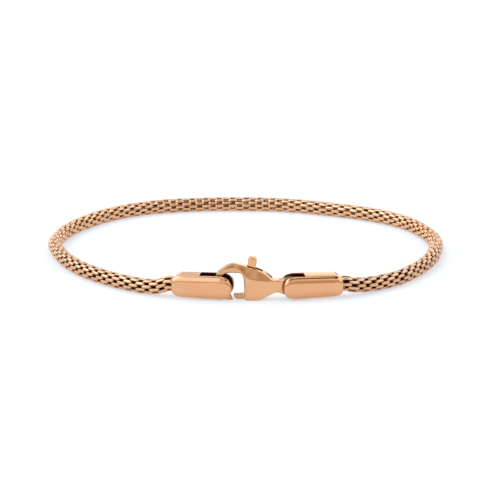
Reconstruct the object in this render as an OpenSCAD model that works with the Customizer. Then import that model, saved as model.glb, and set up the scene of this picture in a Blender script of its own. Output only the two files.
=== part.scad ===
// Mesh bracelet: a round woven-wire chain, closed by a lobster clasp between two oval end caps.
// It lies on the surface z = 0 with the clasp towards -Y. The origin is under the middle of its outline.

/* [Loop] */
// Width of the loop, between the chain's centre lines
loop_w = 63.7; // [56:0.1:74]
// Depth of the loop, from the clasp's mid-plane to the chain's centre line at the back
loop_d = 56.3; // [50:0.1:66]
// Outer diameter of the woven chain
chain_d = 2.4; // [1.8:0.1:2.6]
// How far the clasp's middle lies to the right of the loop's middle
clasp_shift = 1.9; // [0:0.1:3]

/* [End caps] */
// Length of an end cap
cap_l = 9.6; // [9:0.05:11]
// Height of an end cap at its inner, forked end
cap_h = 4.06; // [3.9:0.02:4.2]
// Height of an end cap at its outer end
cap_outer_h = 3.6; // [3.4:0.1:3.8]
// Thickness of an end cap, across the loop
cap_t = 3.9; // [3.7:0.1:4.4]
// Radius of the cap's outline at its inner end
cap_inner_r = 1.75; // [1.2:0.05:1.8]
// Radius of the cap's outline at its outer end
cap_outer_r = 1.55; // [1:0.05:1.6]
// Radius of the cap's long edges
cap_edge_r = 0.8; // [0.4:0.05:1]
// Angle in plan by which each cap turns away from the clasp
cap_turn = 10; // [6:0.5:11]
// Height of the caps above the surface
cap_lift = 0.02; // [0.02:0.01:0.1]
// Width of the fork's slot
slot_w = 2.3; // [2.25:0.05:2.5]
// Length of the slot in the left cap, which the hook drops into
slot_l_left = 5.2; // [3.8:0.1:5.6]
// Length of the slot in the right cap, which holds the claw's tail
slot_l_right = 3.5; // [3.3:0.1:4.8]
// Distance from the forked end to the catch bar or the tail pin
pin_inset = 1.45; // [1.2:0.05:1.5]
// Depth of the socket that holds the end of the chain
socket_l = 1.6; // [1:0.1:2.4]
// Radius of the catch bar
bar_r = 0.4; // [0.3:0.05:0.45]
// Radius of the tail pin
tail_pin_r = 0.4; // [0.3:0.05:0.5]
// Depth of the tail pin's seat in each side of the fork
pin_seat = 0.45; // [0.3:0.05:0.5]

/* [Claw] */
// Distance from the catch bar to the tail pin
clasp_span = 10.56; // [10:0.02:11.4]
// Height of the claw above the surface
claw_h = 5.77; // [5.4:0.01:6.2]
// Radius of the outside of the hook's arch
arch_r = 3.3; // [2.9:0.05:3.4]
// Metal of the hook at the top of the arch
hook_top = 1.4; // [1.1:0.02:1.7]
// Metal of the hook at its outer side
hook_side = 0.95; // [0.8:0.05:1.2]
// Metal of the hook at its tip
hook_tip = 1.05; // [0.8:0.05:1.1]
// Width of the hole that the hook encloses
hole_w = 3.6; // [3.3:0.05:3.8]
// How much wider the hole is beside the gate than at its top
hole_swell = 0.2; // [0:0.05:0.3]
// Distance from the catch bar to the hook's tip
tip_x = 1.46; // [1.3:0.02:1.6]
// How far the tip's end face leans back over its height
tip_lean = 0.45; // [0.2:0.05:0.55]
// Depth of the hook and the tail, across the loop
wire_t = 1.6; // [1.4:0.05:1.65]
// Greatest thickness of the belly
body_t = 2.8; // [2.5:0.05:3.2]
// Half the length over which the belly swells
bulge_l = 3.3; // [3:0.1:3.6]
// Height of the shoulder where the back turns down to the neck
shoulder_z = 4.65; // [4.5:0.01:4.9]
// Height of the neck
neck_h = 1.7; // [1.5:0.05:1.9]
// Height of the neck's middle above the surface
neck_z = 2.13; // [2:0.01:2.3]
// Radius of the tail's eye
eye_r = 1.45; // [1.2:0.05:1.55]

/* [Lever] */
// Thickness of the lever
lever_t = 0.9; // [0.7:0.05:1]
// Gap between the hook's tip and the gate
gate_gap = 0.22; // [0.16:0.02:0.4]
// Height of the gate's underside above the surface
gate_lift = 0.06; // [0.04:0.01:0.1]
// Height of the gate
gate_h = 0.88; // [0.8:0.01:0.95]
// Width of the thumb tab at its foot
tab_w = 1.2; // [1:0.05:1.3]
// Height of the thumb tab's top above the surface
tab_top = 6.85; // [6.6:0.05:7.2]
// Thickness of the thumb tab
tab_t = 1.5; // [1.1:0.05:1.8]
// Radius of the lever's hub
hub_r = 0.85; // [0.75:0.05:0.95]
// Radius of the lever's pin
lever_pin_r = 0.3; // [0.25:0.01:0.35]
// Angle by which the thumb opens the gate
lever_open = 20; // [12:1:22]

/* [Clearances] */
// Radial play of the chain's end in its socket
socket_play = 0.08; // [0.04:0.02:0.12]
// Play of the hook on the catch bar
bar_play = 0.03; // [0.02:0.01:0.08]
// Radial play of the tail's eye on its pin
eye_play = 0.06; // [0.03:0.01:0.1]
// Radial play of a pin in its seat
seat_play = 0.02; // [0.01:0.005:0.03]
// Radial play of the lever on its pin
hinge_play = 0.04; // [0.02:0.01:0.08]
// Gap on each side of the lever in the claw
side_play = 0.06; // [0.04:0.01:0.1]
// Gap between the edge of the lever and the claw
edge_play = 0.1; // [0.06:0.02:0.14]

/* [Hidden] */

ROSE_GOLD = [0.86, 0.62, 0.47];
CHAIN_SIDES = 12;
STEPS_PER_POINT = 2;
ARC_STEP = 11;
LENS_FN = 96;
EPS = 0.01;
BEYOND = 1;
$fn = 48;

chain_r = chain_d / 2;
axis_z = cap_lift + cap_h / 2;
bar_x = clasp_shift - clasp_span / 2;
pin_x = clasp_shift + clasp_span / 2;

// The outline's front is the rounded inner corner of a cap, and its back is the outside of the chain.
corner_reach = (pin_inset - cap_edge_r) * sin(cap_turn) + (cap_t / 2 - cap_edge_r) * cos(cap_turn) + cap_edge_r;
clasp_y = -(loop_d + chain_r - corner_reach) / 2;

// Reach of a cross pin that lies askew in the claw, because its cap turns away from the clasp.
function skewed(r) = r / cos(cap_turn) + wire_t / 2 * tan(cap_turn);

// Claw, seen from the front: x from the catch bar, z from the surface.
hook_in = -skewed(bar_r) - bar_play;
hook_out = hook_in - hook_side;
hole_right = hook_in + hole_w;
hole_top = claw_h - hook_top;
back_fall = 15;
arch_end = hook_out + arch_r + arch_r * tan(back_fall / 2);
shoulder_x = arch_end + (claw_h - shoulder_z) / tan(back_fall);
belly_end = 5.44;
neck_x = 8.15;
neck_skew = 0.12;
tail_run = 0.4;
tip_edge = 0.12;
hole_corner_r = 0.7;
hook_corner_r = 1.4;
hook_floor_r = 0.95;
swell_z = 2.2;
bulge_x = 4.9;

// Corners of the claw's outline: x, z and the radius that rounds the corner, from the tip round the outside.
CLAW_CORNERS = [
    [tip_x, 0, tip_edge],
    [hook_out, 0, claw_h - arch_r - EPS],
    [hook_out, claw_h, arch_r - EPS],
    [arch_end, claw_h, arch_r - EPS],
    [shoulder_x, shoulder_z, 5.7],
    [neck_x - neck_skew, neck_z + neck_h / 2, 1.8],
    [clasp_span - tail_run, axis_z + eye_r, 0.8],
    [clasp_span + eye_r, axis_z + eye_r, eye_r - EPS],
    [clasp_span + eye_r, axis_z - eye_r, eye_r - EPS],
    [clasp_span - tail_run, axis_z - eye_r, 0.8],
    [neck_x + neck_skew, neck_z - neck_h / 2, 1.5],
    [belly_end, 0, 3],
    [hole_right + hole_swell, 0, 0.45],
    [hole_right + hole_swell, swell_z, 1],
    [hole_right, hole_top, hole_corner_r],
    [hook_in, hole_top, hook_corner_r],
    [hook_in, hook_tip, hook_floor_r],
    [tip_x - tip_lean, hook_tip, tip_edge]
];

// Lever, in the claw's frame: its pivot, the sides of its hub, and the places that its room in the claw shares.
pivot = [4.71, 2];
hub_left = pivot[0] - hub_r;
hub_right = pivot[0] + hub_r;
hub_low = pivot[1] - 0.45;
hub_high = pivot[1] + 1;
hub_shoulder = pivot[1] + 0.6;
heel_x = pivot[0] - 0.9;
gate_root = pivot[0] - 1.45;
gate_x = tip_x + gate_gap;
gate_top = gate_lift + gate_h;
gate_lean = 0.1;
gate_nose_r = 0.6;
tab_left = pivot[0] - 0.92;
tab_right = tab_left + tab_w;
tab_foot = claw_h - 0.45;
tab_lip = 0.2;
tab_shelf = claw_h - 0.3;
tab_lip_z = (claw_h + tab_top) / 2 - 0.15;

// Corners of the lever's outline: the gate, the heel, the hub, the thumb tab and back to the gate.
LEVER_CORNERS = [
    [gate_x, gate_lift, gate_nose_r],
    [heel_x, gate_lift, 0.5],
    [hub_right, hub_low, 0.7],
    [hub_right - 0.2, hub_high, 0.5],
    [tab_right, tab_foot, 0.3],
    [tab_right + tab_lip, tab_lip_z, 0.5],
    [tab_right + 0.1, tab_top, 0.5],
    [tab_left, tab_top, 0.45],
    [tab_left, tab_foot, 0.5],
    [hub_left, hub_shoulder, 0.5],
    [gate_root, gate_top, 0.4],
    [gate_x - gate_lean, gate_top, tip_edge]
];

// Corners of the lever's room in the claw. It opens into the hook's hole, below the claw and above its back.
room_left = hole_right - 0.6;
ROOM_CORNERS = [
    [room_left, -BEYOND, 0.1],
    [heel_x, -BEYOND, 0.3],
    [hub_right + edge_play, hub_low, 0.5],
    [hub_right - edge_play, hub_high, 0.5],
    [tab_right + edge_play, tab_foot, 0.3],
    [tab_right + edge_play, claw_h + BEYOND, 0.1],
    [tab_left - edge_play, claw_h + BEYOND, 0.1],
    [tab_left - edge_play, tab_foot, 0.5],
    [hub_left - edge_play, hub_shoulder, 0.5],
    [gate_root, gate_top + edge_play, 0.3],
    [room_left, gate_top + edge_play, 0.1]
];

// Route of the chain along the floor: shares of half the loop's width, of half its depth, and of the caps' height
// above the chain's own radius. It runs from the left cap round the back to the right cap.
ROUTE_SHARES = [
    [-0.435, -0.929, 0.3], [-0.5, -0.892, 0.05], [-0.565, -0.844, 0], [-0.69, -0.725, 0],
    [-0.816, -0.555, 0], [-0.916, -0.35, 0], [-0.98, -0.12, 0], [-1, 0.04, 0],
    [-0.98, 0.23, 0], [-0.92, 0.43, 0], [-0.84, 0.59, 0], [-0.755, 0.72, 0],
    [-0.62, 0.85, 0], [-0.45, 0.943, 0], [-0.23, 0.99, 0], [0, 1, 0],
    [0.23, 0.97, 0], [0.435, 0.885, 0], [0.61, 0.79, 0], [0.76, 0.67, 0],
    [0.88, 0.51, 0], [0.958, 0.31, 0], [1, 0.1, 0], [0.993, -0.11, 0],
    [0.95, -0.33, 0], [0.87, -0.54, 0], [0.765, -0.725, 0], [0.64, -0.85, 0.1],
    [0.575, -0.9, 0.35], [0.53, -0.935, 0.65]
];

// Points of an outline whose corners [x, z, radius] are rounded by arcs.
function unit(v) = v / norm(v);
function corner_arc(before, at, after) =
    let(
        u = unit([before[0] - at[0], before[1] - at[1]]),
        v = unit([after[0] - at[0], after[1] - at[1]]),
        half = acos(max(-1, min(1, u * v))) / 2,
        run = at[2] / tan(half),
        middle = [at[0], at[1]] + unit(u + v) * at[2] / sin(half),
        from = [at[0], at[1]] + u * run - middle,
        to = [at[0], at[1]] + v * run - middle,
        turn = 180 - 2 * half,
        way = sign(from[0] * to[1] - from[1] * to[0]),
        n = max(2, ceil(turn / ARC_STEP))
    )
    [for (i = [0:n])
        let(a = way * turn * i / n)
        middle + [from[0] * cos(a) - from[1] * sin(a), from[0] * sin(a) + from[1] * cos(a)]];
function rounded(corners) =
    let(n = len(corners))
    [for (i = [0:n - 1]) each corner_arc(corners[(i + n - 1) % n], corners[i], corners[(i + 1) % n])];

// A smooth curve through the points of a list, sampled at a whole number of steps between two points.
function spline_at(p, i, t) =
    let(
        a = p[max(0, i - 1)],
        b = p[i],
        c = p[i + 1],
        d = p[min(len(p) - 1, i + 2)]
    )
    0.5 * (2 * b + (c - a) * t + (2 * a - 5 * b + 4 * c - d) * pow(t, 2) + (3 * b - a - 3 * c + d) * pow(t, 3));
function spline(p, steps) = concat(
    [for (i = [0:len(p) - 2], k = [0:steps - 1]) spline_at(p, i, k / steps)],
    [p[len(p) - 1]]
);

// Place on a cap's axis, a distance from its pin towards the chain. side is -1 for the left cap and 1 for the right.
function on_cap(side, distance) =
    [
        (side < 0 ? bar_x : pin_x) + side * distance * cos(cap_turn),
        clasp_y + distance * sin(cap_turn),
        axis_z
    ];
cap_reach = cap_l - pin_inset;
chain_in = socket_l - socket_play;
STRAIGHT_LEAD = 0.8;

chain_points = concat(
    [on_cap(-1, cap_reach - chain_in), on_cap(-1, cap_reach), on_cap(-1, cap_reach + STRAIGHT_LEAD)],
    [for (s = ROUTE_SHARES)
        [s[0] * loop_w / 2, clasp_y + loop_d / 2 * (1 + s[1]), chain_r + s[2] * (axis_z - chain_r)]],
    [on_cap(1, cap_reach + STRAIGHT_LEAD), on_cap(1, cap_reach), on_cap(1, cap_reach - chain_in)]
);

function tube_ring(line, i, r, sides) =
    let(
        along = unit(line[min(len(line) - 1, i + 1)] - line[max(0, i - 1)]),
        across = unit(cross(along, [0, 0, 1])),
        up = cross(across, along)
    )
    [for (k = [0:sides - 1])
        let(a = 360 * k / sides - 90)
        line[i] + r * (cos(a) * across + sin(a) * up)];

module tube(line, r, sides) {
    rings = len(line);
    polyhedron(
        points = [for (i = [0:rings - 1]) each tube_ring(line, i, r, sides)],
        faces = concat(
            [[for (k = [sides - 1:-1:0]) k]],
            [for (i = [0:rings - 2], k = [0:sides - 1])
                let(a = i * sides + k, b = i * sides + (k + 1) % sides)
                [a, b, b + sides, a + sides]],
            [[for (k = [0:sides - 1]) (rings - 1) * sides + k]]
        )
    );
}

// Stands a flat outline up in the plane of the clasp, with its thickness centred on that plane.
module upright(thickness) {
    rotate([90, 0, 0])
        linear_extrude(thickness, center = true)
            children();
}

// A cross pin, centred on the plane of the clasp.
module cross_pin(r, length) {
    rotate([90, 0, 0])
        cylinder(r = r, h = length, center = true);
}

// Moves the clasp's own frame, with the catch bar at x = 0, to its place in the bracelet.
module at_clasp() {
    translate([bar_x, clasp_y, 0])
        children();
}

// A rectangle with rounded corners, from the origin.
module rounded_rect(w, h, r) {
    translate([r, 0])
        square([w - 2 * r, h]);
    translate([0, r])
        square([w, h - 2 * r]);
    for (x = [r, w - r], y = [r, h - r])
        translate([x, y])
            circle(r);
}

// Oval end cap in its own frame: the forked end at x = 0, its axis along +X at z = 0.
module end_cap(slot_l) {
    difference() {
        intersection() {
            upright(cap_t)
                polygon(rounded([
                    [0, -cap_h / 2, cap_inner_r],
                    [cap_l, -cap_outer_h / 2, cap_outer_r],
                    [cap_l, cap_outer_h / 2, cap_outer_r],
                    [0, cap_h / 2, cap_inner_r]
                ]));
            translate([0, -cap_t / 2, -cap_h])
                linear_extrude(2 * cap_h)
                    rounded_rect(cap_l, cap_t, cap_edge_r);
            translate([-EPS, -cap_t / 2, -cap_h / 2])
                rotate([90, 0, 90])
                    linear_extrude(cap_l + 2 * EPS)
                        rounded_rect(cap_t, cap_h, cap_edge_r);
        }
        translate([-BEYOND, -slot_w / 2, -cap_h])
            cube([slot_l + BEYOND, slot_w, 2 * cap_h]);
        translate([cap_l - socket_l, 0, 0])
            rotate([0, 90, 0])
                cylinder(r = chain_r + socket_play, h = socket_l + BEYOND);
    }
}

// Carries a cap's own frame to its side of the clasp.
module place_cap(side) {
    translate([side < 0 ? bar_x : pin_x, clasp_y, axis_z])
        rotate([0, 0, side < 0 ? 180 - cap_turn : cap_turn])
            translate([-pin_inset, 0, 0])
                children();
}

module mesh_chain() {
    color(ROSE_GOLD)
        tube(spline(chain_points, STEPS_PER_POINT), chain_r, CHAIN_SIDES);
}

// The catch bar is soldered across the left fork.
module end_cap_left() {
    color(ROSE_GOLD)
        place_cap(-1)
            union() {
                end_cap(slot_l_left);
                translate([pin_inset, 0, 0])
                    cross_pin(bar_r, slot_w + 2 * pin_seat);
            }
}

module end_cap_right() {
    color(ROSE_GOLD)
        place_cap(1)
            difference() {
                end_cap(slot_l_right);
                translate([pin_inset, 0, 0])
                    cross_pin(tail_pin_r + seat_play, slot_w + 2 * pin_seat);
            }
}

module tail_pin() {
    color(ROSE_GOLD)
        place_cap(1)
            translate([pin_inset, 0, 0])
                cross_pin(tail_pin_r, slot_w + 2 * (pin_seat - seat_play));
}

// The claw's thickness in plan: a lens for the belly, on a strip as thick as the hook and the tail.
module claw_thickness() {
    swell = (body_t - wire_t) / 2;
    lens_r = (pow(bulge_l, 2) + pow(swell, 2)) / (2 * swell);
    union() {
        intersection() {
            translate([bulge_x, lens_r - body_t / 2, -BEYOND])
                cylinder(r = lens_r, h = claw_h + 2 * BEYOND, $fn = LENS_FN);
            translate([bulge_x, body_t / 2 - lens_r, -BEYOND])
                cylinder(r = lens_r, h = claw_h + 2 * BEYOND, $fn = LENS_FN);
        }
        translate([hook_out - BEYOND, -wire_t / 2, -BEYOND])
            cube([clasp_span + eye_r - hook_out + 2 * BEYOND, wire_t, claw_h + 2 * BEYOND]);
    }
}

// Room for the lever: its outline at rest, fully open and half way, with the gap round its edge.
module lever_room() {
    sweep = [0, 0.5, 1];
    upright(lever_t + 2 * side_play)
        union() {
            for (s = sweep)
                translate(pivot)
                    rotate(-lever_open * s)
                        translate(-pivot)
                            polygon(rounded(ROOM_CORNERS));
            translate(pivot)
                circle(hub_r + edge_play);
        }
}

module clasp_body() {
    color(ROSE_GOLD)
        at_clasp()
            difference() {
                intersection() {
                    upright(body_t + 2 * BEYOND)
                        polygon(rounded(CLAW_CORNERS));
                    claw_thickness();
                }
                lever_room();
                translate([pivot[0], 0, pivot[1]])
                    cross_pin(lever_pin_r + seat_play, body_t + 2 * BEYOND);
                translate([clasp_span, 0, axis_z])
                    cross_pin(skewed(tail_pin_r) + eye_play, wire_t + 2 * BEYOND);
            }
}

module clasp_lever() {
    color(ROSE_GOLD)
        at_clasp()
            difference() {
                union() {
                    upright(lever_t)
                        polygon(rounded(LEVER_CORNERS));
                    intersection() {
                        upright(tab_t)
                            polygon(rounded(LEVER_CORNERS));
                        translate([0, -tab_t, tab_shelf])
                            cube([clasp_span, 2 * tab_t, tab_top]);
                    }
                }
                translate([pivot[0], 0, pivot[1]])
                    cross_pin(lever_pin_r + hinge_play, lever_t + 2 * BEYOND);
            }
}

module lever_pin() {
    color(ROSE_GOLD)
        at_clasp()
            translate([pivot[0], 0, pivot[1]])
                cross_pin(lever_pin_r, body_t - 2 * side_play);
}

mesh_chain();
end_cap_left();
end_cap_right();
tail_pin();
clasp_body();
clasp_lever();
lever_pin();
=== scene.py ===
"""Mesh bracelet: the woven chain, the caps and the clasp as smooth metal, on a pale floor."""
import math

import bpy
import numpy as np
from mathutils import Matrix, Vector


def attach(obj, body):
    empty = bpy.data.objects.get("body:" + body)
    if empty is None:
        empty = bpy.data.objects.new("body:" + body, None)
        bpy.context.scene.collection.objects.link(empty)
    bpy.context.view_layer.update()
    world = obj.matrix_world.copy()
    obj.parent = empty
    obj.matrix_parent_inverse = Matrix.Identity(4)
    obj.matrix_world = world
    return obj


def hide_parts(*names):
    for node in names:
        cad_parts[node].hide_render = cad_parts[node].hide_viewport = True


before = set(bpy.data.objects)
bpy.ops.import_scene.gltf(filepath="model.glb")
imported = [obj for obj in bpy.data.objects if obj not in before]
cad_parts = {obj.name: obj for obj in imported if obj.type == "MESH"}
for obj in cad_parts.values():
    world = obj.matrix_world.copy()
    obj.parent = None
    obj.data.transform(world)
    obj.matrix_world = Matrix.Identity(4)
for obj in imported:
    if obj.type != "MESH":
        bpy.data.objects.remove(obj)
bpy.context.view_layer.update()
SEED = 7
MM = 0.001

# Sizes in millimetres, the same as the solids have. Only CAP_INNER_R is larger, 1.75 there.
LOOP_W, LOOP_D, CHAIN_R, CLASP_SHIFT = 63.7, 56.3, 1.2, 1.9
CAP_L, CAP_H, CAP_OUTER_H, CAP_T = 9.6, 4.06, 3.6, 3.9
CAP_INNER_R, CAP_OUTER_R, CAP_TURN, CAP_LIFT = 1.9, 1.55, 10, 0.02
SLOT_W, SLOT_L, PIN_INSET, SOCKET_L = 2.3, {-1: 5.2, 1: 3.5}, 1.45, 1.6
BAR_R, BAR_PLAY, TAIL_PIN_R, EYE_PLAY = 0.4, 0.03, 0.4, 0.06
CLASP_SPAN, CLAW_H, ARCH_R, BACK_FALL = 10.56, 5.77, 3.3, 15
HOOK_TOP, HOOK_SIDE, HOOK_TIP = 1.4, 0.95, 1.05
HOLE_W, HOLE_SWELL, SWELL_Z = 3.6, 0.2, 2.2
HOLE_CORNER_R, HOOK_CORNER_R, HOOK_FLOOR_R = 0.7, 1.4, 0.95
TIP_X, TIP_LEAN, TIP_EDGE = 1.46, 0.45, 0.12
WIRE_T, BODY_T, BULGE_L, BULGE_X, BELLY_END = 1.6, 2.8, 3.3, 4.9, 5.44
SHOULDER_Z, NECK_H, NECK_Z, NECK_X, NECK_SKEW = 4.65, 1.7, 2.13, 8.15, 0.12
EYE_R, TAIL_RUN = 1.45, 0.4
LEVER_T, GATE_GAP, GATE_LIFT, GATE_H = 0.9, 0.22, 0.06, 0.88
GATE_LEAN, GATE_NOSE_R = 0.1, 0.6
TAB_W, TAB_TOP, TAB_T, TAB_LIP, HUB_R = 1.2, 6.85, 1.5, 0.2, 0.85
SIDE_PLAY, EDGE_PLAY, LEVER_OPEN = 0.06, 0.1, 20
PIVOT = (4.71, 2.0)

AXIS_Z = CAP_LIFT + CAP_H / 2
BAR_X, PIN_X = CLASP_SHIFT - CLASP_SPAN / 2, CLASP_SHIFT + CLASP_SPAN / 2
CLASP_Y = -27.727
TURN = math.radians(CAP_TURN)


def unit(v):
    v = np.asarray(v, float)
    return v / np.linalg.norm(v, axis=-1, keepdims=True)


def spline(p, steps):
    """A smooth curve through a list of points."""
    p = np.array(p, float)
    out = []
    for i in range(len(p) - 1):
        a, b, c, d = p[max(0, i - 1)], p[i], p[i + 1], p[min(len(p) - 1, i + 2)]
        for t in np.linspace(0, 1, steps, endpoint=False):
            out.append(0.5 * (2 * b + (c - a) * t + (2 * a - 5 * b + 4 * c - d) * t ** 2
                              + (3 * b - a - 3 * c + d) * t ** 3))
    out.append(p[-1])
    return np.array(out)


# Outlines

def rounded(corners, step=5.0):
    """Points of an outline whose corners (x, z, radius) are rounded by arcs."""
    out = []
    n = len(corners)
    for i in range(n):
        before, at, after = (np.array(corners[(i + k) % n][:2], float) for k in (-1, 0, 1))
        r = corners[i][2]
        u, v = unit(before - at), unit(after - at)
        half = math.acos(max(-1, min(1, float(u @ v)))) / 2
        run = r / math.tan(half)
        middle = at + unit(u + v) * r / math.sin(half)
        a, b = at + u * run - middle, at + v * run - middle
        turn = math.pi - 2 * half
        way = 1 if a[0] * b[1] - a[1] * b[0] > 0 else -1
        m = max(2, math.ceil(math.degrees(turn) / step))
        for k in range(m + 1):
            t = way * turn * k / m
            c, s = math.cos(t), math.sin(t)
            out.append(middle + np.array([a[0] * c - a[1] * s, a[0] * s + a[1] * c]))
    return np.array(out)


def line_distance(x, z, line, closed=True):
    """Distance from points to a polyline."""
    best = None
    ends = range(len(line)) if closed else range(len(line) - 1)
    for i in ends:
        a, b = line[i], line[(i + 1) % len(line)]
        e = b - a
        l2 = float(e @ e)
        if l2 < 1e-12:
            continue
        t = np.clip(((x - a[0]) * e[0] + (z - a[1]) * e[1]) / l2, 0, 1)
        d = (x - a[0] - t * e[0]) ** 2 + (z - a[1] - t * e[1]) ** 2
        best = d if best is None else np.minimum(best, d)
    return np.sqrt(best)


def outline_distance(x, z, line):
    """Signed distance to a closed outline, negative inside."""
    d = line_distance(x, z, line)
    inside = np.zeros(np.broadcast(x, z).shape, bool)
    for i in range(len(line)):
        a, b = line[i], line[(i + 1) % len(line)]
        if a[1] == b[1]:
            continue
        over = (z > a[1]) != (z > b[1])
        at = a[0] + (z - a[1]) / (b[1] - a[1]) * (b[0] - a[0])
        inside ^= over & (x < at)
    return np.where(inside, -d, d)


# Solids from distance fields

def both(a, b, r):
    """What two fields share, with an edge rounded by r."""
    return np.minimum(-r, np.maximum(a, b)) + np.hypot(np.maximum(r + a, 0), np.maximum(r + b, 0))


def without(a, b, r):
    return both(a, -b, r)


def either(a, b, r):
    """Two fields joined with a hollow fillet of radius r."""
    return -both(-a, -b, r)


def ease(v, low, high):
    """Rises smoothly from 0 at low to 1 at high."""
    t = np.clip((v - low) / (high - low), 0, 1)
    return t * t * (3 - 2 * t)


def surface(field, low, high, step):
    """Zero surface of a field in mm, as points, quads and unit normals."""
    axes = [np.arange(low[k] - 2 * step, high[k] + 3 * step, step) for k in range(3)]
    grid = np.ix_(*axes)
    v = np.broadcast_to(field(*grid), tuple(len(a) for a in axes))
    inside = v < 0
    n = np.array(v.shape) - 1
    corner = {}
    for i in (0, 1):
        for j in (0, 1):
            for k in (0, 1):
                corner[i, j, k] = (slice(i, i + n[0]), slice(j, j + n[1]), slice(k, k + n[2]))
    count = sum(inside[c].astype(int) for c in corner.values())
    mixed = (count > 0) & (count < 8)
    cells = np.argwhere(mixed)
    number = -np.ones(mixed.shape, int)
    number[mixed] = np.arange(len(cells))
    total = np.zeros((len(cells), 3))
    hits = np.zeros(len(cells))
    for axis in range(3):
        others = [k for k in range(3) if k != axis]
        for p in (0, 1):
            for q in (0, 1):
                a = [0, 0, 0]
                a[others[0]], a[others[1]] = p, q
                b = list(a)
                b[axis] = 1
                va, vb = v[corner[tuple(a)]][mixed], v[corner[tuple(b)]][mixed]
                cross = (va < 0) != (vb < 0)
                t = np.where(cross, va / np.where(cross, va - vb, 1), 0)
                place = np.tile(np.array(a, float), (len(cells), 1))
                place[:, axis] = t
                total += place * cross[:, None]
                hits += cross
    origin = np.array([a[0] for a in axes])
    points = origin + step * (cells + total / hits[:, None])
    quads = []
    for axis in range(3):
        i, j = [k for k in range(3) if k != axis]
        if axis == 1:
            i, j = j, i
        lo, hi = [slice(None)] * 3, [slice(None)] * 3
        lo[axis], hi[axis] = slice(0, -1), slice(1, None)
        change = inside[tuple(lo)] != inside[tuple(hi)]
        edges = np.argwhere(change)
        leaving = inside[tuple(lo)][change]
        around = []
        for di, dj in ((-1, -1), (0, -1), (0, 0), (-1, 0)):
            c = edges.copy()
            c[:, i] += di
            c[:, j] += dj
            around.append(number[c[:, 0], c[:, 1], c[:, 2]])
        q = np.stack(around, 1)
        q[~leaving] = q[~leaving][:, ::-1]
        quads.append(q)
    quads = np.vstack(quads)

    def slope(p):
        e = step * 0.1
        g = np.empty_like(p)
        for k in range(3):
            d = np.zeros(3)
            d[k] = e
            a, b = p + d, p - d
            g[:, k] = (field(a[:, 0], a[:, 1], a[:, 2]) - field(b[:, 0], b[:, 1], b[:, 2])) / (2 * e)
        return g

    for _ in range(3):
        g = slope(points)
        f = field(points[:, 0], points[:, 1], points[:, 2])
        move = -g * (f / np.maximum((g ** 2).sum(1), 0.05))[:, None]
        far = np.linalg.norm(move, axis=1, keepdims=True)
        points += move * np.minimum(1, step / np.maximum(far, 1e-9))
    return points, quads, unit(slope(points) + 1e-9)


def add_mesh(name, points, faces, material, body, replaced=(), normals=None, painted_shade=None):
    """A smooth mesh piece, from points in mm. The last argument gives, from 0 to 1, how much painted shade
    darkens each point.
    """
    mesh = bpy.data.meshes.new(name)
    mesh.from_pydata((points * MM).tolist(), [], faces.tolist() if hasattr(faces, "tolist") else faces)
    if painted_shade is not None:
        mesh.attributes.new("painted_shade", "FLOAT", "POINT").data.foreach_set("value", painted_shade.astype(np.float32))
    mesh.validate()
    mesh.update()
    mesh.shade_smooth()
    if normals is not None:
        mesh.normals_split_custom_set_from_vertices(normals.tolist())
    mesh.materials.append(material)
    obj = bpy.data.objects.new(name, mesh)
    bpy.context.scene.collection.objects.link(obj)
    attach(obj, body)
    if replaced:
        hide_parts(*replaced)
    return obj


# Materials

# The tone's noise between its two colours, how much finer the wear is than the tone, how it changes the
# roughness, what the painted shade adds to the roughness, and the fine lines' scale and depth.
TONE_LOW, TONE_HIGH, WEAR_FINER, SMOOTHER, ROUGHER, GAP_DULL = 0.3, 0.7, 4, 0.75, 1.35, 0.3
LINE_SCALE, LINE_DEPTH = (900, 6000, 6000), 0.00002


def colour_socket(sockets, name=None):
    """The colour socket of a mix node, by its name where there are two."""
    return [s for s in sockets if s.type == "RGBA" and name in (None, s.name)][0]


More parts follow.
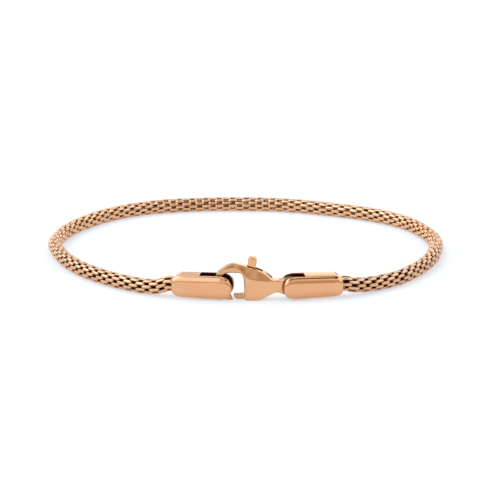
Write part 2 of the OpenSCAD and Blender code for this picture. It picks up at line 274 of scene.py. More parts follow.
def metal(name, colour, deep_tone_and_shade, painted_shade_colour, roughness, grain, scratch):
    """Polished plating: uneven tone, fine lines, a little waviness, and painted shade that darkens and
    roughens it.
    """
    mat = bpy.data.materials.new(name)
    mat.use_nodes = True
    tree = mat.node_tree
    tree.nodes.clear()
    new, link = tree.nodes.new, tree.links.new
    out = new("ShaderNodeOutputMaterial")
    shader = new("ShaderNodeBsdfPrincipled")
    shader.inputs["Metallic"].default_value = 1.0
    shader.inputs["Specular IOR Level"].default_value = 0.5
    link(shader.outputs[0], out.inputs[0])
    place = new("ShaderNodeTexCoord")
    tone = new("ShaderNodeTexNoise")
    tone.inputs["Scale"].default_value = grain
    tone.inputs["Detail"].default_value = 3
    link(place.outputs["Object"], tone.inputs["Vector"])
    ramp = new("ShaderNodeValToRGB")
    for end, at, shade in zip(ramp.color_ramp.elements, (TONE_LOW, TONE_HIGH), (deep_tone_and_shade, colour)):
        end.position = at
        end.color = (*shade, 1)
    link(tone.outputs["Fac"], ramp.inputs[0])
    # Painted shade: the painted-shade attribute mixes the tone toward the dark colour and adds roughness.
    painted_shade = new("ShaderNodeAttribute")
    painted_shade.attribute_name = "painted_shade"
    shade_mix = new("ShaderNodeMix")
    shade_mix.data_type = "RGBA"
    colour_socket(shade_mix.inputs, "B").default_value = (*painted_shade_colour, 1)
    link(painted_shade.outputs["Fac"], shade_mix.inputs[0])
    link(ramp.outputs[0], colour_socket(shade_mix.inputs, "A"))
    link(colour_socket(shade_mix.outputs), shader.inputs["Base Color"])
    wear = new("ShaderNodeTexNoise")
    wear.inputs["Scale"].default_value = grain * WEAR_FINER
    wear.inputs["Detail"].default_value = 4
    link(place.outputs["Object"], wear.inputs["Vector"])
    rough = new("ShaderNodeMapRange")
    rough.inputs["To Min"].default_value = roughness * SMOOTHER
    rough.inputs["To Max"].default_value = roughness * ROUGHER
    link(wear.outputs["Fac"], rough.inputs["Value"])
    dull = new("ShaderNodeMath")
    dull.operation = "MULTIPLY_ADD"
    dull.inputs[1].default_value = GAP_DULL
    link(painted_shade.outputs["Fac"], dull.inputs[0])
    link(rough.outputs[0], dull.inputs[2])
    link(dull.outputs[0], shader.inputs["Roughness"])
    stretch = new("ShaderNodeMapping")
    stretch.inputs["Scale"].default_value = LINE_SCALE
    link(place.outputs["Object"], stretch.inputs["Vector"])
    lines = new("ShaderNodeTexNoise")
    lines.inputs["Scale"].default_value = 1.0
    lines.inputs["Detail"].default_value = 2
    link(stretch.outputs[0], lines.inputs["Vector"])
    bump = new("ShaderNodeBump")
    bump.inputs["Strength"].default_value = scratch
    bump.inputs["Distance"].default_value = LINE_DEPTH
    link(lines.outputs["Fac"], bump.inputs["Height"])
    link(bump.outputs[0], shader.inputs["Normal"])
    return mat


# The near-black colour of the tube of painted shade inside the chain.
CORE_SHADE_COLOUR = (0.035, 0.011, 0.006)
SHADE_CORE = metal("painted_shade_core", CORE_SHADE_COLOUR, CORE_SHADE_COLOUR, CORE_SHADE_COLOUR, 0.5, 900.0, 0.2)
# The last of each metal's three colours is the colour of its painted shade.
ROSE = metal("rose_gold", (0.79, 0.418, 0.217), (0.755, 0.385, 0.195), (0.06, 0.02, 0.008), 0.1, 260.0, 0.06)
WIRE = metal("rose_gold_wire", (0.88, 0.50, 0.28), (0.79, 0.41, 0.21), (0.05, 0.015, 0.007),
             0.15, 700.0, 0.08)


# Chain

# The middle line: across and along in half loops, and how far it has risen from the surface to the caps.
ROUTE_SHARES = [
    (-0.435, -0.929, 0.3), (-0.5, -0.892, 0.05), (-0.565, -0.844, 0), (-0.69, -0.725, 0),
    (-0.816, -0.555, 0), (-0.916, -0.35, 0), (-0.98, -0.12, 0), (-1, 0.04, 0),
    (-0.98, 0.23, 0), (-0.92, 0.43, 0), (-0.84, 0.59, 0), (-0.755, 0.72, 0),
    (-0.62, 0.85, 0), (-0.45, 0.943, 0), (-0.23, 0.99, 0), (0, 1, 0),
    (0.23, 0.97, 0), (0.435, 0.885, 0), (0.61, 0.79, 0), (0.76, 0.67, 0),
    (0.88, 0.51, 0), (0.958, 0.31, 0), (1, 0.1, 0), (0.993, -0.11, 0),
    (0.95, -0.33, 0), (0.87, -0.54, 0), (0.765, -0.725, 0), (0.64, -0.85, 0.1),
    (0.575, -0.9, 0.35), (0.53, -0.935, 0.65),
]
CAP_REACH, CHAIN_IN, STRAIGHT_LEAD, ROUTE_STEPS = CAP_L - PIN_INSET, 1.52, 0.8, 20


def on_cap(side, distance):
    x = (BAR_X if side < 0 else PIN_X) + side * distance * math.cos(TURN)
    return (x, CLASP_Y + distance * math.sin(TURN), AXIS_Z)


def route():
    """The chain's middle line, as closely spaced points."""
    p = [on_cap(-1, CAP_REACH - CHAIN_IN), on_cap(-1, CAP_REACH), on_cap(-1, CAP_REACH + STRAIGHT_LEAD)]
    p += [(a * LOOP_W / 2, CLASP_Y + LOOP_D / 2 * (1 + b), CHAIN_R + c * (AXIS_Z - CHAIN_R))
          for a, b, c in ROUTE_SHARES]
    p += [on_cap(1, CAP_REACH + STRAIGHT_LEAD), on_cap(1, CAP_REACH), on_cap(1, CAP_REACH - CHAIN_IN)]
    return spline(p, ROUTE_STEPS)


class Line:
    """A smooth line with a frame at each distance along it."""

    def __init__(self, points):
        steps = np.linalg.norm(np.diff(points, axis=0), axis=1)
        self.at = np.concatenate([[0], np.cumsum(steps)])
        self.points = points
        self.length = self.at[-1]
        along = unit(np.gradient(points, self.at, axis=0))
        for _ in range(6):
            along[1:-1] = (along[:-2] + 2 * along[1:-1] + along[2:]) / 4
        self.along = unit(along)

    def frame(self, s):
        s = np.clip(s, 0, self.length)
        p = np.stack([np.interp(s, self.at, self.points[:, k]) for k in range(3)], -1)
        t = unit(np.stack([np.interp(s, self.at, self.along[:, k]) for k in range(3)], -1))
        across = unit(np.cross(t, [0, 0, 1]))
        return p, t, across, np.cross(across, t)

    def place(self, s, r, phi):
        p, _, across, up = self.frame(s)
        return p + r[..., None] * (np.cos(phi)[..., None] * across + np.sin(phi)[..., None] * up)


# A ring's wire, from one outer strand to the next: distance along the chain in pitches, radius, angle in
# degrees, half width, half thickness. After each strand the wire dives under the next ring's strand and
# runs back inside.
STRAND = np.array([
    (-0.625, 0.72, -8, 0.14, 0.14),
    (-0.58, 0.88, -3, 0.19, 0.155),
    (-0.50, 0.985, -1, 0.215, 0.17),
    (-0.33, 1.02, 0, 0.232, 0.175),
    (0, 1.03, 0, 0.236, 0.17),
    (0.33, 1.02, 0, 0.232, 0.175),
    (0.50, 0.985, 1, 0.215, 0.17),
    (0.58, 0.88, 3, 0.19, 0.155),
    (0.625, 0.72, 8, 0.14, 0.14),
    (0.60, 0.60, 17, 0.12, 0.12),
    (0, 0.52, 20, 0.11, 0.11),
    (-0.60, 0.58, 30, 0.12, 0.12),
])
# Strands in a ring, distance between rings, and plain length before the first ring and after the last.
STRANDS, LINK_PITCH, CHAIN_END = 7, 1.2, 0.25
# The first strand's angle, and how much further the rings are turned at the back of the loop, in degrees.
FIRST_ROW, BACK_TWIST = 19.2, -4.5
# How uneven strands are: moved along the chain, sunk, turned in degrees, tilted, rolled in degrees, and the
# most of each of these.
MOVED, SUNK, TURNED, TILTED, ROLLED, MOST = 0.03, 0.008, 1.3, 0.04, 6, 1.6
# A wire's section: across, up, and the way its side faces in degrees from across. Its outside is nearly flat.
SECTION = np.array([
    (0.80, 1.0, 67), (1.0, 0.35, 20), (1.0, -0.5, -20), (0.75, -1.0, -70),
    (-0.75, -1.0, -110), (-1.0, -0.5, -160), (-1.0, 0.35, 160), (-0.80, 1.0, 113),
])
# Painted shade on each point of the section: none on the outside, full on the underside, where strands shade
# each other.
SECTION_SHADE = np.array([0, 0.5, 0.9, 1, 1, 0.9, 0.5, 0])
# Painted shade below the first radius, none from the second. At the back of the loop, painted light takes
# most of the painted shade off sides that face up.
DARK_R, BRIGHT_R = 0.88, 1.15
BACK_FULL, BACK_END, UP_LOW, UP_HIGH, BACK_PAINTED_LIGHT = 0.2, 0.36, -0.2, 0.5, 0.78
# The dark core, a tube of painted shade inside the chain: radius, radius at the back, how far it lies below
# the middle, plain length at each end, and where it gets thicker, from the middle of its length.
CORE_R, CORE_THIN, CORE_DROP, CORE_END, THIN_TO, THICK_FROM = 0.42, 0.06, 0.12, 0.3, 0.14, 0.26
CORE_SIDES, CORE_STEP = 10, 1.0


def mesh_chain(line):
    """Rings of wire, each closed, turned by half a strand's step from one ring to the next."""
    rng = np.random.default_rng(SEED)
    rings = int(round((line.length - 2 * CHAIN_END) / LINK_PITCH))
    pitch = (line.length - 2 * CHAIN_END) / rings
    sides = len(SECTION)
    facing = np.radians(SECTION[:, 2])
    m = len(STRAND) * STRANDS
    rows = np.tile(STRAND, (STRANDS, 1))
    turn = np.repeat(np.arange(STRANDS) * 2 * math.pi / STRANDS, len(STRAND))
    points, faces, normals, painted_shade = [], [], [], []
    for i in range(rings):
        middle = CHAIN_END + (i + 0.5) * pitch
        twist = BACK_TWIST * math.sin(math.pi * middle / line.length)
        phase = math.radians(FIRST_ROW - twist + 180 / STRANDS * (i % 2))
        jitter = np.repeat(np.clip(rng.normal(0, 1, (STRANDS, 5)), -MOST, MOST), len(STRAND), axis=0)
        s = middle + rows[:, 0] * pitch + MOVED * jitter[:, 0]
        r = rows[:, 1] - SUNK * np.abs(jitter[:, 1]) + TILTED * jitter[:, 3] * rows[:, 0]
        phi = phase + turn + np.radians(rows[:, 2]) + math.radians(TURNED) * jitter[:, 2]
        path = line.place(s, r, phi)
        _, _, across, up = line.frame(s)
        out = np.cos(phi)[:, None] * across + np.sin(phi)[:, None] * up
        go = unit(np.roll(path, -1, axis=0) - np.roll(path, 1, axis=0))
        side = unit(np.cross(go, out))
        lift = np.cross(side, go)
        roll = math.radians(ROLLED) * jitter[:, 4, None]
        side, lift = np.cos(roll) * side + np.sin(roll) * lift, np.cos(roll) * lift - np.sin(roll) * side
        wide = (rows[:, 3, None] * SECTION[:, 0])[..., None] * side[:, None, :]
        thick = (rows[:, 4, None] * SECTION[:, 1])[..., None] * lift[:, None, :]
        points.append((path[:, None, :] + wide + thick).reshape(-1, 3))
        facings = np.cos(facing)[:, None] * side[:, None, :] + np.sin(facing)[:, None] * lift[:, None, :]
        normals.append(facings.reshape(-1, 3))
        # Painted shade, deeper the lower a point lies and toward the wire's underside; at the back of the
        # loop, painted light on sides facing up.
        height = r[:, None] + rows[:, 4, None] * SECTION[:, 1]
        deep_tone_and_shade = 1 - ease(height, DARK_R, BRIGHT_R)
        at_back = 1 - ease(abs(middle / line.length - 0.5), BACK_FULL, BACK_END)
        painted_lit = at_back * ease(facings[..., 2], UP_LOW, UP_HIGH)
        painted_shade.append((np.maximum(deep_tone_and_shade, SECTION_SHADE) * (1 - BACK_PAINTED_LIGHT * painted_lit)).reshape(-1))
        k = np.arange(sides)
        here = np.arange(m)[:, None] * sides
        there = ((np.arange(m) + 1) % m)[:, None] * sides
        turned_k = (k + 1) % sides
        quad = np.stack([here + k, here + turned_k, there + turned_k, there + k], -1)
        faces.append(i * m * sides + quad.reshape(-1, 4))
    return np.vstack(points), np.vstack(faces), np.vstack(normals), np.concatenate(painted_shade)


def mesh_shade_core(line, sides, step):
    """A near-black tube of painted shade inside the chain, plain, closed and thinner at the back of the loop.
    """
    s = np.linspace(CORE_END, line.length - CORE_END, int(line.length / step))
    radius = CORE_THIN + (CORE_R - CORE_THIN) * ease(np.abs(s / line.length - 0.5), THIN_TO, THICK_FROM)
    drop = CORE_DROP * radius / CORE_R
    angles = np.arange(sides) * 2 * math.pi / sides
    rings = [line.place(s, radius, np.full_like(s, a)) for a in angles]
    pts = (np.stack(rings, 1) - drop[:, None, None] * [0, 0, 1]).reshape(-1, 3)
    faces = []
    for i in range(len(s) - 1):
        for k in range(sides):
            j = (k + 1) % sides
            faces.append([i * sides + k, i * sides + j, (i + 1) * sides + j, (i + 1) * sides + k])
    faces.append(list(range(sides))[::-1])
    faces.append([(len(s) - 1) * sides + k for k in range(sides)])
    return pts, faces


LINE = Line(route())
wire_points, wire_faces, wire_normals, wire_painted_shade = mesh_chain(LINE)
add_mesh("mesh_links", wire_points, wire_faces, WIRE, "bracelet", ["mesh_chain"], wire_normals,
         wire_painted_shade)
# Painted shade: a dark tube that darkens the inside of the chain.
core_points, core_faces = mesh_shade_core(LINE, CORE_SIDES, CORE_STEP)
add_mesh("mesh_shade_core", core_points, core_faces, SHADE_CORE, "bracelet")


# End caps

CAP_OUTLINE = rounded([
    (0, -CAP_H / 2, CAP_INNER_R),
    (CAP_L, -CAP_OUTER_H / 2, CAP_OUTER_R),
    (CAP_L, CAP_OUTER_H / 2, CAP_OUTER_R),
    (0, CAP_H / 2, CAP_INNER_R),
])
# Radius of the edges along each cap, left and right, and round its inner and outer end, and how the one goes
# over into the other: slant, from and to.
CAP_EDGE, INNER_EDGE, OUTER_EDGE = {-1: 1.12, 1: 1.3}, 0.35, 0.5
EDGE_SLANT, EDGE_FROM, EDGE_TO = 0.35, 0.3, 2.1
# The faces' fall toward the ends and toward the edges, and the front's crown.
FALL_X, FALL_Z, CROWN = 0.04, 0.03, 0.05
SLOT_CORNER, SLOT_EDGE, SOCKET_WALL, SOCKET_CORNER, SOCKET_EDGE = 0.15, 0.1, 0.05, 0.05, 0.15
BAR_SEAT, BAR_FILLET, CAP_STEP = 0.3, 0.1, 0.11
# Depth below the rim where a slot's wall is free of painted shade and where the painted shade is full, left
# and right.
SLOT_LIT = {-1: (0.06, 0.34), 1: (0.16, 0.55)}
# Around the bar: where the slot's painted shade rises, by how much, and how much painted shade lies on the
# bar itself.
BAR_RISE, BAR_GAIN, BAR_DARK = (0.02, 0.2), 0.7, 0.3
SLOT_WALL, SLOT_FLOOR, HOLE_WALL, HOLE_FLOOR, HOLE_RISE = 0.07, 0.12, 0.13, 0.1, (0.03, 0.25)
# Distance from a cap's outline where its shade is full and where it ends.
SHADE_FULL, SHADE_END = -0.1, 0.28


def cap_field(side):
    def field(x, y, z):
        half = CAP_T / 2 - FALL_X * (2 * x / CAP_L - 1) ** 2 - FALL_Z * (2 * z / CAP_H) ** 2
        crowned = outline_distance(x, z, CAP_OUTLINE) + CROWN * (np.minimum(y, 0) * 2 / CAP_T) ** 2
        long_edge = CAP_EDGE[side]
        slant = EDGE_SLANT * np.abs(z)
        inner = INNER_EDGE + (long_edge - INNER_EDGE) * ease(x + slant, EDGE_FROM, EDGE_TO)
        outer = OUTER_EDGE + (long_edge - OUTER_EDGE) * ease(CAP_L - x + slant, EDGE_FROM, EDGE_TO)
        body = both(crowned, np.abs(y) - half, np.minimum(inner, outer))
        slot = both(np.abs(y) - SLOT_W / 2, x - SLOT_L[side] + 0 * z, SLOT_CORNER)
        body = without(body, slot, SLOT_EDGE)
        socket = both(np.hypot(y, z) - CHAIN_R - SOCKET_WALL, CAP_L - SOCKET_L - x + 0 * y, SOCKET_CORNER)
        body = without(body, socket, SOCKET_EDGE)
        if side < 0:
            bar = np.maximum(np.hypot(x - PIN_INSET, z) - BAR_R, np.abs(y) - SLOT_W / 2 - BAR_SEAT)
            body = either(body, bar, BAR_FILLET)
        return body
    return field


def cap_painted_shade(points, side):
    """Painted shade inside the slot, away from the bar and from the rim, and painted shade in the socket."""
    x, y, z = points.T
    rim = -outline_distance(x, z, CAP_OUTLINE)
    in_slot = (np.abs(y) < SLOT_W / 2 + SLOT_WALL) & (x < SLOT_L[side] + SLOT_FLOOR)
    deep_tone_and_shade = in_slot * ease(rim, *SLOT_LIT[side])
    if side < 0:
        deep_tone_and_shade *= ease(np.hypot(x - PIN_INSET, z) - BAR_R, *BAR_RISE) * BAR_GAIN + BAR_DARK
    in_socket = (np.hypot(y, z) < CHAIN_R + HOLE_WALL) & (x > CAP_L - SOCKET_L - HOLE_FLOOR)
    return np.maximum(deep_tone_and_shade, in_socket * ease(CAP_L - x, *HOLE_RISE))


def cap_frame(side):
    """Turn and place of a cap."""
    angle = math.pi - TURN if side < 0 else TURN
    c, s = math.cos(angle), math.sin(angle)
    at = np.array([BAR_X if side < 0 else PIN_X, CLASP_Y, AXIS_Z])
    return np.array([[c, -s, 0], [s, c, 0], [0, 0, 1]]), at


def cap_place(points, normals, side):
    turn, at = cap_frame(side)
    return (points - [PIN_INSET, 0, 0]) @ turn.T + at, normals @ turn.T


def cap_shade(points, side):
    """How much a cap's fork shades a point beside it or inside it."""
    turn, at = cap_frame(side)
    x, _, z = ((points - at) @ turn + [PIN_INSET, 0, 0]).T
    return 1 - ease(outline_distance(x, z, CAP_OUTLINE), SHADE_FULL, SHADE_END)


for side, piece, node in ((-1, "cap_left", "end_cap_left"), (1, "cap_right", "end_cap_right")):
    p, q, n = surface(cap_field(side), (0, -CAP_T / 2, -CAP_H / 2), (CAP_L, CAP_T / 2, CAP_H / 2), CAP_STEP)
    # Painted shade inside the slot and the socket.
    slot_painted_shade = cap_painted_shade(p, side)
    p, n = cap_place(p, n, side)
    add_mesh(piece, p, q, ROSE, "bracelet", [node], n, slot_painted_shade)


# Claw

SKEW_BAR = BAR_R / math.cos(TURN) + WIRE_T / 2 * math.tan(TURN)
SKEW_PIN = TAIL_PIN_R / math.cos(TURN) + WIRE_T / 2 * math.tan(TURN)
HOOK_IN = -SKEW_BAR - BAR_PLAY
HOOK_OUT = HOOK_IN - HOOK_SIDE
HOLE_RIGHT = HOOK_IN + HOLE_W
HOLE_TOP = CLAW_H - HOOK_TOP
ARCH_END = HOOK_OUT + ARCH_R + ARCH_R * math.tan(math.radians(BACK_FALL / 2))
SHOULDER_X = ARCH_END + (CLAW_H - SHOULDER_Z) / math.tan(math.radians(BACK_FALL))
CLAW = rounded([
    (TIP_X, 0, TIP_EDGE),
    (HOOK_OUT, 0, CLAW_H - ARCH_R - 0.01),
    (HOOK_OUT, CLAW_H, ARCH_R - 0.01),
    (ARCH_END, CLAW_H, ARCH_R - 0.01),
    (SHOULDER_X, SHOULDER_Z, 5.7),
    (NECK_X - NECK_SKEW, NECK_Z + NECK_H / 2, 1.8),
    (CLASP_SPAN - TAIL_RUN, AXIS_Z + EYE_R, 0.8),
    (CLASP_SPAN + EYE_R, AXIS_Z + EYE_R, EYE_R - 0.01),
    (CLASP_SPAN + EYE_R, AXIS_Z - EYE_R, EYE_R - 0.01),
    (CLASP_SPAN - TAIL_RUN, AXIS_Z - EYE_R, 0.8),
    (NECK_X + NECK_SKEW, NECK_Z - NECK_H / 2, 1.5),
    (BELLY_END, 0, 3),
    (HOLE_RIGHT + HOLE_SWELL, 0, 0.45),
    (HOLE_RIGHT + HOLE_SWELL, SWELL_Z, 1),
    (HOLE_RIGHT, HOLE_TOP, HOLE_CORNER_R),
    (HOOK_IN, HOLE_TOP, HOOK_CORNER_R),
    (HOOK_IN, HOOK_TIP, HOOK_FLOOR_R),
    (TIP_X - TIP_LEAN, HOOK_TIP, TIP_EDGE),
])

HUB_LEFT, HUB_RIGHT = PIVOT[0] - HUB_R, PIVOT[0] + HUB_R
HUB_LOW, HUB_HIGH, HUB_SHOULDER = PIVOT[1] - 0.45, PIVOT[1] + 1, PIVOT[1] + 0.6
HEEL_X, GATE_ROOT = PIVOT[0] - 0.9, PIVOT[0] - 1.45
GATE_X, GATE_TOP = TIP_X + GATE_GAP, GATE_LIFT + GATE_H
TAB_LEFT = PIVOT[0] - 0.92
TAB_RIGHT, TAB_FOOT = TAB_LEFT + TAB_W, CLAW_H - 0.45
TAB_LIP_Z = (CLAW_H + TAB_TOP) / 2 - 0.15
LEVER = rounded([
    (GATE_X, GATE_LIFT, GATE_NOSE_R),
    (HEEL_X, GATE_LIFT, 0.5),
    (HUB_RIGHT, HUB_LOW, 0.7),
    (HUB_RIGHT - 0.2, HUB_HIGH, 0.5),
    (TAB_RIGHT, TAB_FOOT, 0.3),
    (TAB_RIGHT + TAB_LIP, TAB_LIP_Z, 0.5),
    (TAB_RIGHT + 0.1, TAB_TOP, 0.5),
    (TAB_LEFT, TAB_TOP, 0.45),
    (TAB_LEFT, TAB_FOOT, 0.5),
    (HUB_LEFT, HUB_SHOULDER, 0.5),
    (GATE_ROOT, GATE_TOP, 0.4),
    (GATE_X - GATE_LEAN, GATE_TOP, TIP_EDGE),
])
ROOM_LEFT = HOLE_RIGHT - 0.6
ROOM = rounded([
    (ROOM_LEFT, -1, 0.1),
    (HEEL_X, -1, 0.3),
    (HUB_RIGHT + EDGE_PLAY, HUB_LOW, 0.5),
    (HUB_RIGHT - EDGE_PLAY, HUB_HIGH, 0.5),
    (TAB_RIGHT + EDGE_PLAY, TAB_FOOT, 0.3),
    (TAB_RIGHT + EDGE_PLAY, CLAW_H + 1, 0.1),
    (TAB_LEFT - EDGE_PLAY, CLAW_H + 1, 0.1),
    (TAB_LEFT - EDGE_PLAY, TAB_FOOT, 0.5),
    (HUB_LEFT - EDGE_PLAY, HUB_SHOULDER, 0.5),
    (GATE_ROOT, GATE_TOP + EDGE_PLAY, 0.3),
    (ROOM_LEFT, GATE_TOP + EDGE_PLAY, 0.1),
])

# The claw's crease, in x and z: below it the side is upright, and above it the side leans back.
CREASE = spline([
    (-1.7, 2.9), (-1.3, 3.6), (-0.7, 4.4), (0, 4.9), (0.6, 5.13), (1.2, 5.23), (1.7, 5.23), (2.2, 5.1),
    (2.6, 4.87), (3.0, 4.45), (3.3, 4.08), (3.7, 3.75), (4.35, 3.48), (5.05, 3.34), (5.7, 3.2), (6.6, 3.1),
    (7.7, 3.04), (8.3, 3.4), (9.2, 4.2),
], 4)
BEVEL, CREASE_R, CLAW_EDGE, BELLY_R, CLAW_STEP = 0.36, 0.1, 0.26, 0.08, 0.085
ROOM_CORNER, ROOM_EDGE, BORE_EDGE = 0.05, 0.06, 0.12
# Shade of the hook above its crease, further left, inside and at its tip, and of the forks and the gate.
HOOK_SHADE, LEFT_SHADE, INNER_SHADE, TIP_SHADE = 0.36, 0.16, 0.1, 0.14
FORK_SHADE, GATE_SHADE = 0.85, 0.2
# Where these shades begin and where they are full, and the room's darkness, by its distance from the rim.
FRONT_SIDE, LEFT_RISE, BAND_RISE, HOOK_RISE = (0.3, 0.5), (-2.6, -1.2), (0, 0.12), (-3.9, -2.3)
TIP_LOW, TIP_LEFT, FORK_RISE, ROOM_RIM, ROOM_WALL = (-1.3, -1.0), (-1.7, -1.5), (1.4, 2.2), (0.3, 1.2), 0.04
BLADE_EDGE, SHELF_LIFT, SHELF_EDGE, HEAD_EDGE, HEAD_FILLET, LEVER_STEP = 0.2, 0.07, 0.1, 0.25, 0.1, 0.07


def turned(x, z, degrees):
    """Points moved back by the lever's turn, so that an outline can be tested in its rest place."""
    a = math.radians(degrees)
    dx, dz = x - PIVOT[0], z - PIVOT[1]
    return PIVOT[0] + dx * math.cos(a) - dz * math.sin(a), PIVOT[1] + dx * math.sin(a) + dz * math.cos(a)


def soft_rise(v, r):
    """0 below zero and v above it, with the bend rounded over r."""
    return (v + np.sqrt(v * v + r * r)) / 2


def claw_field(x, y, z):
    swell = (BODY_T - WIRE_T) / 2
    lens = (BULGE_L ** 2 + swell ** 2) / (2 * swell)
    belly = BODY_T / 2 - lens + np.sqrt(np.maximum(lens ** 2 - (x - BULGE_X) ** 2, 1))
    half = WIRE_T / 2 + soft_rise(belly - WIRE_T / 2, BELLY_R)
    over = np.where(z > np.interp(x, CREASE[:, 0], CREASE[:, 1]), 1, -1)
    above = over * line_distance(x, z, CREASE, closed=False)
    half = np.minimum(half, BODY_T / 2) - BEVEL * soft_rise(above, CREASE_R)
    body = both(outline_distance(x, z, CLAW), np.abs(y) - half, CLAW_EDGE)
    for share in (0, 0.5, 1):
        room = outline_distance(*turned(x, z, share * LEVER_OPEN), ROOM)
        body = without(body, both(room, np.abs(y) - LEVER_T / 2 - SIDE_PLAY, ROOM_CORNER), ROOM_EDGE)
    bore = np.hypot(x - CLASP_SPAN, z - AXIS_Z) - SKEW_PIN - EYE_PLAY
    return without(body, bore + 0 * y, BORE_EDGE)


def clasp_place(points):
    return points + [BAR_X, CLASP_Y, 0]


def claw_painted_shade(points):
    """Painted shade inside the lever's room and in the caps' forks, and a little painted shade on the hook
    and its tip.
    """
    x, y, z = points.T
    inside = np.abs(y) < LEVER_T / 2 + SIDE_PLAY + ROOM_WALL
    rim = -outline_distance(x, z, CLAW)
    over = z - np.interp(x, CREASE[:, 0], CREASE[:, 1])
    front = ease(-y, *FRONT_SIDE)
    band = (HOOK_SHADE + LEFT_SHADE * ease(-x, *LEFT_RISE)) * ease(over, *BAND_RISE)
    hook = np.maximum(band, INNER_SHADE) * ease(-x, *HOOK_RISE) * front
    tip = TIP_SHADE * ease(-z, *TIP_LOW) * ease(-x, *TIP_LEFT)
    place = clasp_place(points)
    fork = np.maximum(cap_shade(place, -1) * ease(z, *FORK_RISE), cap_shade(place, 1)) * FORK_SHADE
    return np.maximum.reduce([inside * ease(rim, *ROOM_RIM), hook, tip, fork])


def lever_field(x, y, z):
    d = outline_distance(x, z, LEVER)
    blade = both(d, np.abs(y) - LEVER_T / 2, BLADE_EDGE)
    shelf = CLAW_H + SHELF_LIFT - (x - ARCH_END) * math.tan(math.radians(BACK_FALL)) - z
    head = both(both(d, shelf, SHELF_EDGE), np.abs(y) - TAB_T / 2, HEAD_EDGE)
    return either(blade, head, HEAD_FILLET)


p, q, n = surface(claw_field, (HOOK_OUT, -BODY_T / 2, 0), (CLASP_SPAN + EYE_R, BODY_T / 2, CLAW_H), CLAW_STEP)
add_mesh("claw", clasp_place(p), q, ROSE, "bracelet", ["clasp_body"], n, claw_painted_shade(p))
low, high = (GATE_X - 0.2, -TAB_T / 2, 0), (HUB_RIGHT + 0.3, TAB_T / 2, TAB_TOP)
p, q, n = surface(lever_field, low, high, LEVER_STEP)
# Painted shade on the gate, left of its root.
gate_painted_shade = GATE_SHADE * ease(-p[:, 0], -GATE_ROOT, -GATE_ROOT + 0.5)
add_mesh("lever", clasp_place(p), q, ROSE, "lever", ["clasp_lever"], n, gate_painted_shade)

for name in ("tail_pin", "lever_pin"):
    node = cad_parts[name]
    node.data.materials.clear()
    node.data.materials.append(ROSE)


# Floor

FLOOR_SIZE, FLOOR_DROP = 3.0, 0.00002
FLOOR_COLOUR, FLOOR_GLOW = (0.44, 0.425, 0.40), (0.52, 0.535, 0.56)
floor_material = bpy.data.materials.new("floor")
floor_material.use_nodes = True
floor_shader = floor_material.node_tree.nodes["Principled BSDF"]
floor_shader.inputs["Base Color"].default_value = (*FLOOR_COLOUR, 1)
floor_shader.inputs["Roughness"].default_value = 0.7
floor_shader.inputs["Specular IOR Level"].default_value = 0.0
floor_shader.inputs["Emission Color"].default_value = (*FLOOR_GLOW, 1)
floor_shader.inputs["Emission Strength"].default_value = 1.0
corners = [(x * FLOOR_SIZE, y * FLOOR_SIZE, 0) for x, y in ((-1, -1), (1, -1), (1, 1), (-1, 1))]
floor_mesh = bpy.data.meshes.new("floor")
floor_mesh.from_pydata(corners, [], [(0, 1, 2, 3)])
floor_mesh.materials.append(floor_material)
floor = bpy.data.objects.new("floor", floor_mesh)
floor.location.z = -FLOOR_DROP
bpy.context.scene.collection.objects.link(floor)


# Studio: soft light from every side, by direction. The camera is on the side of -Y.

world = bpy.data.worlds.new("studio")
bpy.context.scene.world = world
world.use_nodes = True
sky = world.node_tree
sky.nodes.clear()
BRIGHTEST = 3.0
COOL, PLAIN, WARM = (0.84, 1.0, 1.2), (0.98, 1.0, 1.02), (1.0, 0.93, 0.85)


def sky_bands(marks):
    """Light of one side of the studio: (sine of the height, radiance, tint)."""
    ramp = sky.nodes.new("ShaderNodeValToRGB")
    while len(ramp.color_ramp.elements) < len(marks):
        ramp.color_ramp.elements.new(0.5)
    for e, (at, level, tint) in zip(ramp.color_ramp.elements, marks):
        e.position = at
        e.color = (*(level / BRIGHTEST * v for v in tint), 1)
    sky.links.new(height, ramp.inputs[0])
    return ramp.outputs[0]


def sky_blend(value, start, end, a, b):
    """Goes over smoothly from one side's light to the next side's."""
    share = sky.nodes.new("ShaderNodeMapRange")
    share.interpolation_type = "SMOOTHSTEP"
    share.inputs["From Min"].default_value = start
    share.inputs["From Max"].default_value = end
    sky.links.new(value, share.inputs["Value"])
    mix = sky.nodes.new("ShaderNodeMix")
    mix.data_type = "RGBA"
    sky.links.new(share.outputs[0], mix.inputs[0])
    for name, colour in (("A", a), ("B", b)):
        sky.links.new(colour, colour_socket(mix.inputs, name))
    return colour_socket(mix.outputs)


direction = sky.nodes.new("ShaderNodeTexCoord")
split = sky.nodes.new("ShaderNodeSeparateXYZ")
sky.links.new(direction.outputs["Generated"], split.inputs[0])
east, north, height = split.outputs
south = sky.nodes.new("ShaderNodeMath")
south.operation = "MULTIPLY"
south.inputs[1].default_value = -1
sky.links.new(north, south.inputs[0])
azimuth = sky.nodes.new("ShaderNodeMath")
azimuth.operation = "ARCTAN2"
sky.links.new(east, azimuth.inputs[0])
sky.links.new(south.outputs[0], azimuth.inputs[1])
far_side = sky_bands([
    (0, 0.6, PLAIN), (0.04, 0.9, PLAIN), (0.3, 1.0, PLAIN), (0.45, 2.3, COOL), (0.95, 2.3, COOL),
    (0.975, 0.5, PLAIN),
])
left = sky_bands([
    (0, 0.45, WARM), (0.07, 0.45, WARM), (0.12, 1.0, WARM), (0.3, 1.15, WARM), (0.5, 1.52, COOL),
    (0.95, 1.52, COOL), (0.98, 1.15, PLAIN),
])
front = sky_bands([
    (0, 0.6, WARM), (0.3, 0.62, WARM), (0.38, 0.86, WARM), (0.93, 0.9, WARM), (0.95, 0.06, WARM),
])
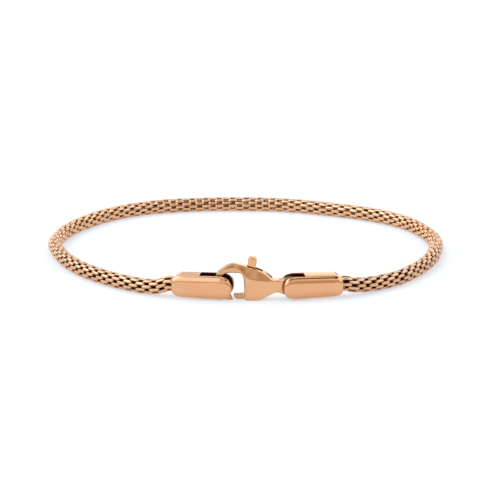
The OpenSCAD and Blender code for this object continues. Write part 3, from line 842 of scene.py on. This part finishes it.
near_right = sky_bands([
    (0, 0.95, WARM), (0.1, 0.85, WARM), (0.35, 0.61, WARM), (0.6, 0.58, WARM), (0.74, 1.05, WARM),
    (0.89, 1.05, WARM), (0.905, 0.0, WARM), (0.96, 0.0, WARM), (0.972, 1.2, PLAIN),
])
right = sky_bands([
    (0, 0.4, PLAIN), (0.04, 0.6, PLAIN), (0.3, 0.65, PLAIN), (0.45, 1.55, COOL), (0.89, 1.55, COOL),
    (0.905, 0.05, PLAIN), (0.96, 0.05, PLAIN), (0.975, 1.2, PLAIN),
])
back_left = sky_bands([
    (0, 1.4, PLAIN), (0.14, 1.4, PLAIN), (0.22, 0.89, PLAIN), (0.5, 0.89, PLAIN), (0.7, 1.2, COOL),
    (1, 1.2, COOL),
])
back_right = sky_bands([
    (0, 0.1, PLAIN), (0.07, 0.1, PLAIN), (0.11, 1.56, PLAIN), (0.32, 1.56, PLAIN), (0.42, 1.3, PLAIN),
    (1, 1.3, PLAIN),
])
# Azimuths in degrees, 0 toward the camera and 90 to the right, between which the light of a side begins.
TURNS = (
    (-155, -138, far_side), (-65, -42, left), (-20, -8, front), (6, 20, near_right), (36, 50, right),
    (138, 155, back_right),
)
light = back_left
for start, end, after in TURNS:
    light = sky_blend(azimuth.outputs[0], math.radians(start), math.radians(end), light, after)
background = sky.nodes.new("ShaderNodeBackground")
sky.links.new(light, background.inputs["Color"])
background.inputs["Strength"].default_value = BRIGHTEST
sky_out = sky.nodes.new("ShaderNodeOutputWorld")
sky.links.new(background.outputs[0], sky_out.inputs[0])


# Camera

TARGET = Vector((0, 4.85, 0)) * MM
ELEVATION, DISTANCE = math.radians(15), 0.44
# Focal length, picture width and shift in pixels.
FOCAL, PICTURE, SHIFT_X, SHIFT_Y = 2600, 480, -5.3, 5.0
cam_data = bpy.data.cameras.new("camera")
cam_data.sensor_width = 36
cam_data.lens = cam_data.sensor_width * FOCAL / PICTURE
cam_data.shift_x, cam_data.shift_y = SHIFT_X / PICTURE, SHIFT_Y / PICTURE
cam_data.clip_start, cam_data.clip_end = 0.01, 20
cam = bpy.data.objects.new("camera", cam_data)
cam.location = TARGET + DISTANCE * Vector((0, -math.cos(ELEVATION), math.sin(ELEVATION)))
cam.rotation_mode = "QUATERNION"
cam.rotation_quaternion = (TARGET - cam.location).to_track_quat("-Z", "Y")
bpy.context.scene.collection.objects.link(cam)
bpy.context.scene.camera = cam
view = bpy.context.scene.view_settings
view.view_transform = "Standard"
view.look = "None"
view.exposure, view.gamma = 0, 1
